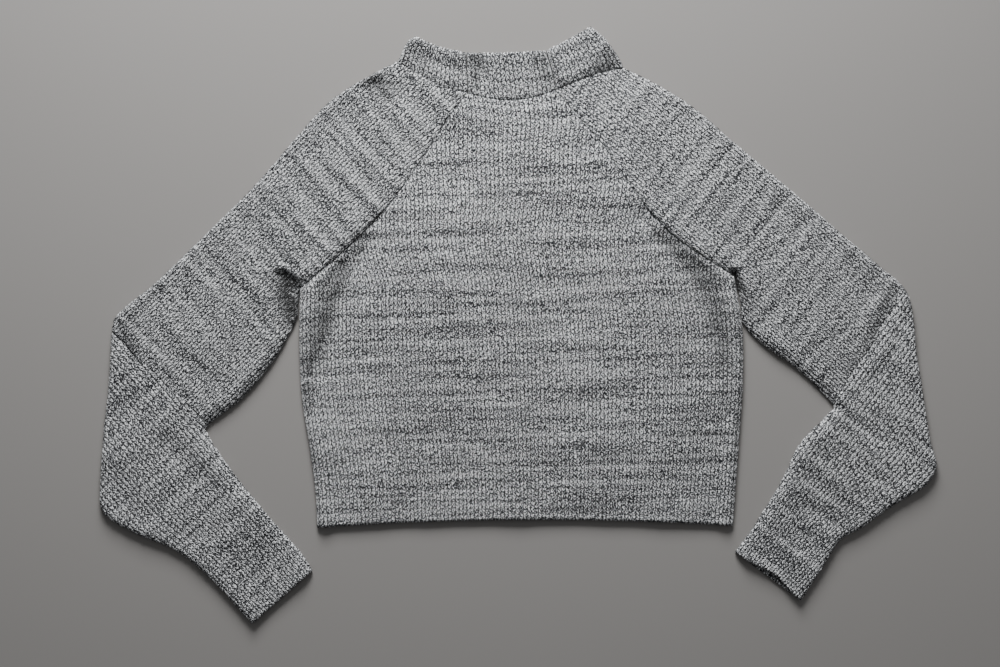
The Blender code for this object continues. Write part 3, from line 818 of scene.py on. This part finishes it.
def sleeve_layer(lattice, curve, crease_line, creases, end_line, neck_line, upper, lane, gape):
    """A layer of one zone, rounded over the outer fold and the underarm seam, dipped at its other edges.

    Beside the lower half of the raglan seam the upper layer's edge rolls down further. At the cuff's
    mouth it draws back by up to gape, in a bell across it.
    """
    u, v, xy, faces = lattice
    from_fold, fold_place, out = beside(xy, curve[:, 0:2])
    from_seam, seam_place, seam_out = beside(xy, curve[:, 2:4])
    rows = np.arange(len(curve))
    fold_rise = np.interp(fold_place, rows, curve[:, 5])
    crown = np.interp((fold_place + seam_place) / 2, rows, curve[:, 6])
    seam_rise = np.interp(seam_place, rows, curve[:, 7])
    radius = (LAID + fold_rise) / 2
    past_fold = np.clip((from_fold - radius) / (from_fold + from_seam - radius + ROUNDING), 0, 1)
    top = (
        LAID
        + fold_rise * bell((from_fold - radius) / FOLD_RISE_WIDTH)
        + crown * arch(past_fold)
        + seam_rise * bell(np.maximum(from_seam - EDGE_RISE, 0) / SEAM_RISE_WIDTH)
        + (crease_heights(xy, creases) + soft_waves(xy)) * smooth(from_fold / CREASE_FADE)
    )
    top = np.maximum(top, UPPER_INNER + PRESSED_THICKNESS)
    seam_row = seam_place / CURVE_STEPS
    underarm = smooth((seam_row - UNDERARM_ROW + UNDERARM_START) / UNDERARM_SPAN)
    rolled = smooth((seam_row - ROLLED_START) / ROLLED_SPAN)
    edge_radius = SLEEVE_SEAM_RADIUS + ROLLED_WIDENING * rolled + UNDERARM_WIDENING * underarm
    steep_fold = np.clip(1 - from_fold / radius, 0, 1)
    steep_seam = underarm * np.clip(1 - from_seam / UNDERARM_RADIUS, 0, 1)
    # The third column is the painted shade of the folds, on the upper layer alone.
    stitches = np.column_stack([u + lane[0], v + lane[1], painted_shade_mask(xy, creases) * upper])
    from_crease = beside(xy, crease_line)[0]
    relief = smooth(from_crease / ELBOW_SPAN + ELBOW_RELIEF)
    depth = ELBOW_DEPTH + (stitch_depth(*stitches.T[:2]) - ELBOW_DEPTH) * relief
    push = (0.5 - depth) * RELIEF
    skin_xy = xy + out * (steep_fold * push)[:, None] + seam_out * (steep_seam * push)[:, None]
    flat = np.sqrt(np.clip(1 - steep_fold**2 - steep_seam**2, 0, 1))
    from_end, mouth_place, mouth_out = beside(xy, end_line)
    drawn_back = gape * upper * bell((mouth_place - GAPE_MIDDLE) / GAPE_HALF_WIDTH)
    drawn_back *= smooth(1 - from_end / GAPE_LENGTH)
    skin_xy = skin_xy - mouth_out * drawn_back[:, None]
    from_neck = beside(xy, neck_line)[0]
    if upper:
        level = FOLD_MIDDLE + (top - FOLD_MIDDLE) * quarter_round(from_fold, radius)
        foot = underarm * (UPPER_INNER + EDGE_THICKNESS)
        foot += (1 - underarm) * (top - SEAM_DIP - ROLLED_DIP * rolled)
        level = np.minimum(level, foot + (top - foot) * quarter_round(from_seam, edge_radius))
        level -= END_DIP * (1 - quarter_round(from_end, END_RADIUS)) * flat
        level -= NECK_DIP * (1 - quarter_round(from_neck, NECK_RADIUS)) * flat
        skin_z = np.maximum(level - depth * RELIEF * flat, FOLD_MIDDLE)
        lifted = np.maximum(top - CLOTH, UPPER_INNER) - UPPER_INNER
        lifted = lifted * (from_end < 1) * smooth(from_fold / INNER_BLEND)
        inner_z = UPPER_INNER + lifted * smooth(from_seam / INNER_BLEND)
    else:
        level = FOLD_MIDDLE * (1 - quarter_round(from_fold, CLOTH))
        sewn_edge = (CLOTH - EDGE_THICKNESS) * (1 - quarter_round(from_seam, CLOTH)) * underarm
        level = np.maximum(level, sewn_edge)
        skin_z = np.minimum(level + depth * LOWER_RELIEF * flat, FOLD_MIDDLE)
        inner_z = np.full(len(u), CLOTH)
    at_fold = from_fold < ON_FOLD
    inner_z = np.where(at_fold, FOLD_MIDDLE, inner_z)
    skin_z = np.where(at_fold, FOLD_MIDDLE, skin_z)
    skin = np.column_stack([skin_xy, skin_z])
    return closed_layer(skin, stitches, faces, inner_z, upper)


def sleeve(name, rows, elbow, across_angle, upper_pitch, forearm_pitch, creases, lane, gape):
    """A bent sleeve from two zones of straight wales, in an upper and a lower layer.

    The table's ends give the two edges of each zone: the fold and the seam, closed by the neck's base,
    the elbow crease and the cuff. elbow gives the crease's rows on the fold and on the seam, and
    across_angle the direction across the upper arm's wales in degrees. Each pitch is a row of distances
    from its zone's end and a row of the wales' widths there.
    """
    curve = row_curve(rows, UNDERARM_ROW, CURVE_STEPS)
    fold, seam = curve[:, 0:2], curve[:, 2:4].copy()
    fold_elbow, seam_elbow = (row * CURVE_STEPS for row in elbow)
    share = np.linspace(0, 1, NECK_LINE_POINTS)[:, None]
    neck = seam[0] + (fold[0] - seam[0]) * share
    neck[:, 1] -= (rows[0][4] * 4 * share * (1 - share))[:, 0]
    crease = np.stack([fold[fold_elbow], seam[seam_elbow]])
    cuff = np.stack([fold[-1], seam[-1]])

    across = np.array([np.cos(np.radians(across_angle)), np.sin(np.radians(across_angle))])
    away = np.array([across[1], -across[0]])
    if away @ (crease[0] - fold[0]) < 0:
        away = -away
    low, high = np.vstack([neck, fold[1 : fold_elbow + 1]]), seam[: seam_elbow + 1]
    if away @ crease[0] > away @ crease[1]:
        high = np.vstack([high, crease[0]])
    else:
        low = np.vstack([low, crease[1]])
    end = low[-1] if away @ low[-1] > away @ high[-1] else high[-1]
    upper_arm = zone_lattice(low, high, across, end, fold[fold_elbow // 2], *upper_pitch)

    across = (cuff[1] - cuff[0]) / np.linalg.norm(cuff[1] - cuff[0])
    low, high = fold[fold_elbow:], np.vstack([crease[:1], seam[seam_elbow:]])
    forearm = zone_lattice(low, high, across, cuff[0], cuff[1], *forearm_pitch)

    layers = []
    for lattice in (upper_arm, forearm):
        for upper in (True, False):
            lane = lane + np.array([LANE, 0])
            layers.append(sleeve_layer(lattice, curve, crease, creases, cuff, neck, upper, lane, gape))
    return knitted_piece(name, layers, marl_knit)


left_sleeve = sleeve(
    "left_sleeve",
    SLEEVE_LEFT,
    elbow=(10, 10),
    across_angle=-46,
    upper_pitch=((0.0, 370.0, 475.0), (3.8, 3.9, 4.3)),
    forearm_pitch=((0.0, 64.0, 115.0, 165.0), (3.95, 4.2, 4.6, 4.95)),
    creases=LEFT_CREASES,
    lane=np.array([2 * LANE, 80]),
    gape=0.0,
)
right_sleeve = sleeve(
    "right_sleeve",
    SLEEVE_RIGHT,
    elbow=(9, 10),
    across_angle=-130,
    upper_pitch=((0.0, 360.0, 465.0), (3.75, 3.8, 4.1)),
    forearm_pitch=((0.0, 77.0, 137.0, 200.0), (3.55, 4.0, 4.7, 5.1)),
    creases=RIGHT_CREASES,
    lane=np.array([6 * LANE, 120]),
    gape=6.0,
)
for piece, node, flat, area in (
    (left_sleeve, "sleeve_left", (0.34, 0.68), 0.189),
    (right_sleeve, "sleeve_right", (0.34, 0.64), 0.175),
):
    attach(piece, "root")
    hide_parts(node)

# ---- Funnel neck -----------------------------------------------------
# The neck is knitted on in one with the four panels and stands up from a crease at its base. Laid down,
# it lies toward the head end: its front quarter on its back quarter, and each side quarter folded.

NECK_COURSE = 9.0
NECK_LEFT = (
    (-135, 299, -56, 263, 6.0, 0.8, 0.0, 0.0),
    (-132, 306, -56, 272, 5.0, 2.0, 0.8, 0.4),
    (-128, 315, -57, 285, 4.0, 2.8, 2.4, 1.6),
    (-123, 322, -57, 297, 3.5, 3.6, 4.0, 3.2),
    (-116, 326, -58, 307, 3.0, 4.0, 5.4, 4.6),
)
NECK_RIGHT = (
    (120, 291, 43, 266, -3.0, 2.4, 1.4, 1.4),
    (117, 299, 42, 273, -3.0, 3.4, 2.6, 2.4),
    (111, 309, 40, 283, -2.0, 3.4, 3.4, 3.0),
    (98, 325, 36, 297, -1.0, 3.4, 4.2, 3.6),
    (84, 337, 32, 309, 0.5, 3.4, 4.8, 4.2),
)
NECK_FRONT = (
    (-56, 263, 43, 266, 10.0, 0.0, -1.0, 0.2),
    (-56, 272, 42, 273, 8.0, 0.2, -0.2, 0.6),
    (-57, 285, 40, 283, 5.0, 1.0, 1.4, 1.4),
    (-57, 297, 36, 297, 3.0, 2.6, 3.6, 3.0),
    (-58, 307, 32, 309, 1.0, 4.4, 5.4, 4.6),
)
NECK_FOLD_DEPTH = 2.4  # a trough this deep gets the whole painted fold shade on the neck, whose hollows are shallow
NECK_CREASES = (
    (-46, 298, -41, 268, 10.0, -2.4),
    (27, 297, 36, 270, 10.0, -1.6),
    (112, 308, 96, 286, 13.0, -3.2),
    (-126, 306, -112, 290, 12.0, -1.3),
)
CREASE_SHIFT = 0.17  # the gap between a quarter and its panel, in the crease
NECK_SEAM_DIP = 1.6
NECK_SEAM_RADIUS = 3.0
NECK_FOLD_RISE_WIDTH = 12.0
NECK_LEAST_RISE = 0.2  # how far a quarter's top stays above the middle of a fold
NECK_LOOP_REACH = 1.1


def neck_quarter(name, rows, wales, folded, uppers, lane):
    """A quarter of the neck: wales fan from its base crease to its top edge, over a fold if it has one.

    A folded quarter's lines run from the fold, u = 0, to the seam; a flat one's from seam to seam. uppers
    says of each of its layers whether it is an upper one.
    """
    _, height, value = courses_of(rows, 0, NECK_COURSE)
    start, end = value[:, 0:2].copy(), value[:, 2:4].copy()
    start[-1, 1] += CREASE_SHIFT
    end[-1, 1] += CREASE_SHIFT
    gap = SEAM_GAP / np.linalg.norm(end - start, axis=1) * wales
    u, v, row, faces = trimmed_lattice(height / NECK_COURSE, gap * (not folded), wales - gap)
    share = u / wales
    line = (end - start)[row]
    width = np.linalg.norm(line, axis=1)
    toward_hem = np.column_stack([line[:, 1], -line[:, 0]]) / width[:, None]
    toward_hem *= -np.sign(toward_hem[:, 1:2])
    xy = start[row] + share[:, None] * line + toward_hem * (value[row, 4] * 4 * share * (1 - share))[:, None]
    base, edge = height[-1] - height[row], height[row]
    fold_rise, crown, seam_rise = value[row, 5], value[row, 6], value[row, 7]
    radius = (LAID + fold_rise) / 2 if folded else np.full(len(u), NECK_SEAM_RADIUS)
    from_fold, from_seam = share * width, (1 - share) * width
    top = (
        LAID
        + fold_rise * bell((from_fold - radius) / NECK_FOLD_RISE_WIDTH)
        + crown * arch(share)
        + seam_rise * bell((from_seam - EDGE_RISE) / EDGE_RISE)
        + crease_heights(xy, NECK_CREASES)
        + soft_waves(xy)
    )
    out = -line / width[:, None]
    # Painted shade of the neck's folds, which only the upper layers carry.
    painted_fold_shade = painted_shade_mask(xy, NECK_CREASES, NECK_FOLD_DEPTH)
    depth = stitch_depth(u + lane[0], v + lane[1])
    steep = np.clip(1 - from_fold / radius, 0, 1) * folded
    flat_part = np.sqrt(1 - steep**2)
    skin_xy = xy + out * (steep * (0.5 - depth) * RELIEF)[:, None]
    last_loop = np.where(edge < ON_EDGE, NECK_LOOP_REACH * np.sin(np.pi * u) ** 2, 0)
    skin_xy -= toward_hem * last_loop[:, None]
    at_fold = (from_fold < ON_FOLD) & folded
    layers = []
    for upper in uppers:
        if upper:
            foot = FOLD_MIDDLE if folded else top - NECK_SEAM_DIP
            level = foot + (top - foot) * quarter_round(from_fold, radius)
            level -= NECK_SEAM_DIP * (1 - quarter_round(from_seam, NECK_SEAM_RADIUS))
            end_dip = END_DIP * (1 - quarter_round(edge, END_RADIUS))
            level -= (end_dip + NECK_DIP * (1 - quarter_round(base, NECK_RADIUS))) * flat_part
            skin_z = np.maximum(level - depth * RELIEF * flat_part, FOLD_MIDDLE + NECK_LEAST_RISE)
            lifted = np.maximum(top - CLOTH, UPPER_INNER) - UPPER_INNER
            inner_z = UPPER_INNER + lifted * (edge < 1) * (smooth(from_fold / INNER_BLEND) if folded else 1)
        else:
            level = FOLD_MIDDLE * (1 - quarter_round(from_fold, CLOTH)) * folded
            skin_z = np.minimum(level + depth * LOWER_RELIEF * flat_part, CLOTH - LEAST_THICKNESS)
            inner_z = np.full(len(u), CLOTH)
        skin_z, inner_z = (np.where(at_fold, FOLD_MIDDLE, z) for z in (skin_z, inner_z))
        skin = np.column_stack([skin_xy, skin_z])
        stitches = np.column_stack([u + lane[0] + LANE * (not upper), v + lane[1], painted_fold_shade * upper])
        layers.append(closed_layer(skin, stitches, faces, inner_z, upper))
    return knitted_piece(name, layers, marl_knit)


for node, rows, wales, folded, uppers, flat, rests_on, lane in (
    ("neck_back", NECK_FRONT, 20, False, (False,), (0.10, 0.05), [paper], 11),
    ("neck_front", NECK_FRONT, 20, False, (True,), (0.10, 0.05), ["neck_back"], 12),
    ("neck_left", NECK_LEFT, 16, True, (True, False), (0.16, 0.046), [paper], 13),
    ("neck_right", NECK_RIGHT, 15, True, (True, False), (0.15, 0.05), [paper], 15),
):
    quarter = neck_quarter(node + "_quarter", rows, wales, folded, uppers, np.array([lane * LANE, 160]))
    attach(quarter, "root")
    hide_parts(node)
